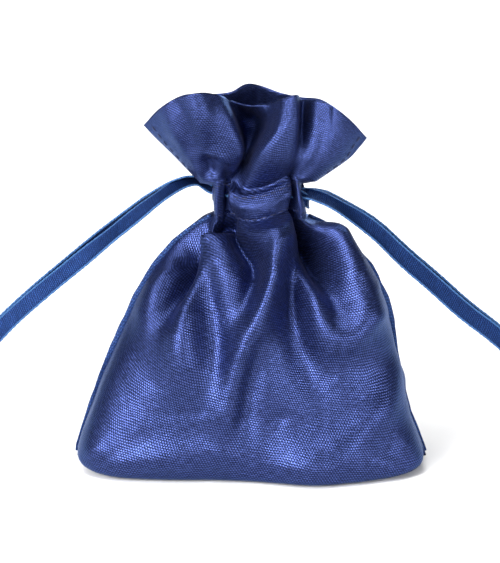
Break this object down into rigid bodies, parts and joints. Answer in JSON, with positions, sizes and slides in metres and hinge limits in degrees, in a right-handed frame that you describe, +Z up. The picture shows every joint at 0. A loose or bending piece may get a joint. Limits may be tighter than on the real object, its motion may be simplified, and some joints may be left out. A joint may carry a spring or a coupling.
{
  "type": "drawstring gift pouch",
  "caption": "Small satin pouch, filled and standing on its folded base, its neck gathered into a ruffle by two ribbon drawstrings.",
  "frame": {"origin": "middle of the base, on the surface that the pouch stands on", "axes": "+Z up, +X across the pouch's width towards its right side, the front faces -Y"},
  "size_m": [0.2578, 0.0484, 0.108],
  "materials": {
    "satin": "navy polyester satin with a soft silky sheen and a visible crosswise weave",
    "ribbon": "blue satin ribbon with a light woven picot edge",
    "thread": "matt navy sewing thread"
  },
  "bodies": {
    "pouch": {"base_fold": "satin", "body_front": "satin", "body_back": "satin", "side_seam_left": "satin", "side_seam_right": "satin", "channel_front": "satin", "channel_back": "satin", "channel_lining_front": "satin", "channel_lining_back": "satin", "lower_stitching": "thread", "upper_stitching": "thread", "ruffle_front": "satin", "ruffle_back": "satin", "left_return_bend": "ribbon", "right_return_bend": "ribbon"},
    "left_drawstring": {"left_run_front": "ribbon", "left_run_back": "ribbon", "left_tail_front": "ribbon", "left_tail_back": "ribbon", "left_knot": "ribbon", "left_ribbon_ends": "ribbon"},
    "right_drawstring": {"right_run_front": "ribbon", "right_run_back": "ribbon", "right_tail_front": "ribbon", "right_tail_back": "ribbon", "right_knot": "ribbon", "right_ribbon_ends": "ribbon"}
  },
  "joints": [
    {"name": "left_drawstring_pull", "type": "slide", "parent": "pouch", "child": "left_drawstring", "axis": [-1, 0, 0], "range_m": [0, 0.01]},
    {"name": "right_drawstring_pull", "type": "slide", "parent": "pouch", "child": "right_drawstring", "axis": [1, 0, 0], "range_m": [0, 0.01]}
  ]
}
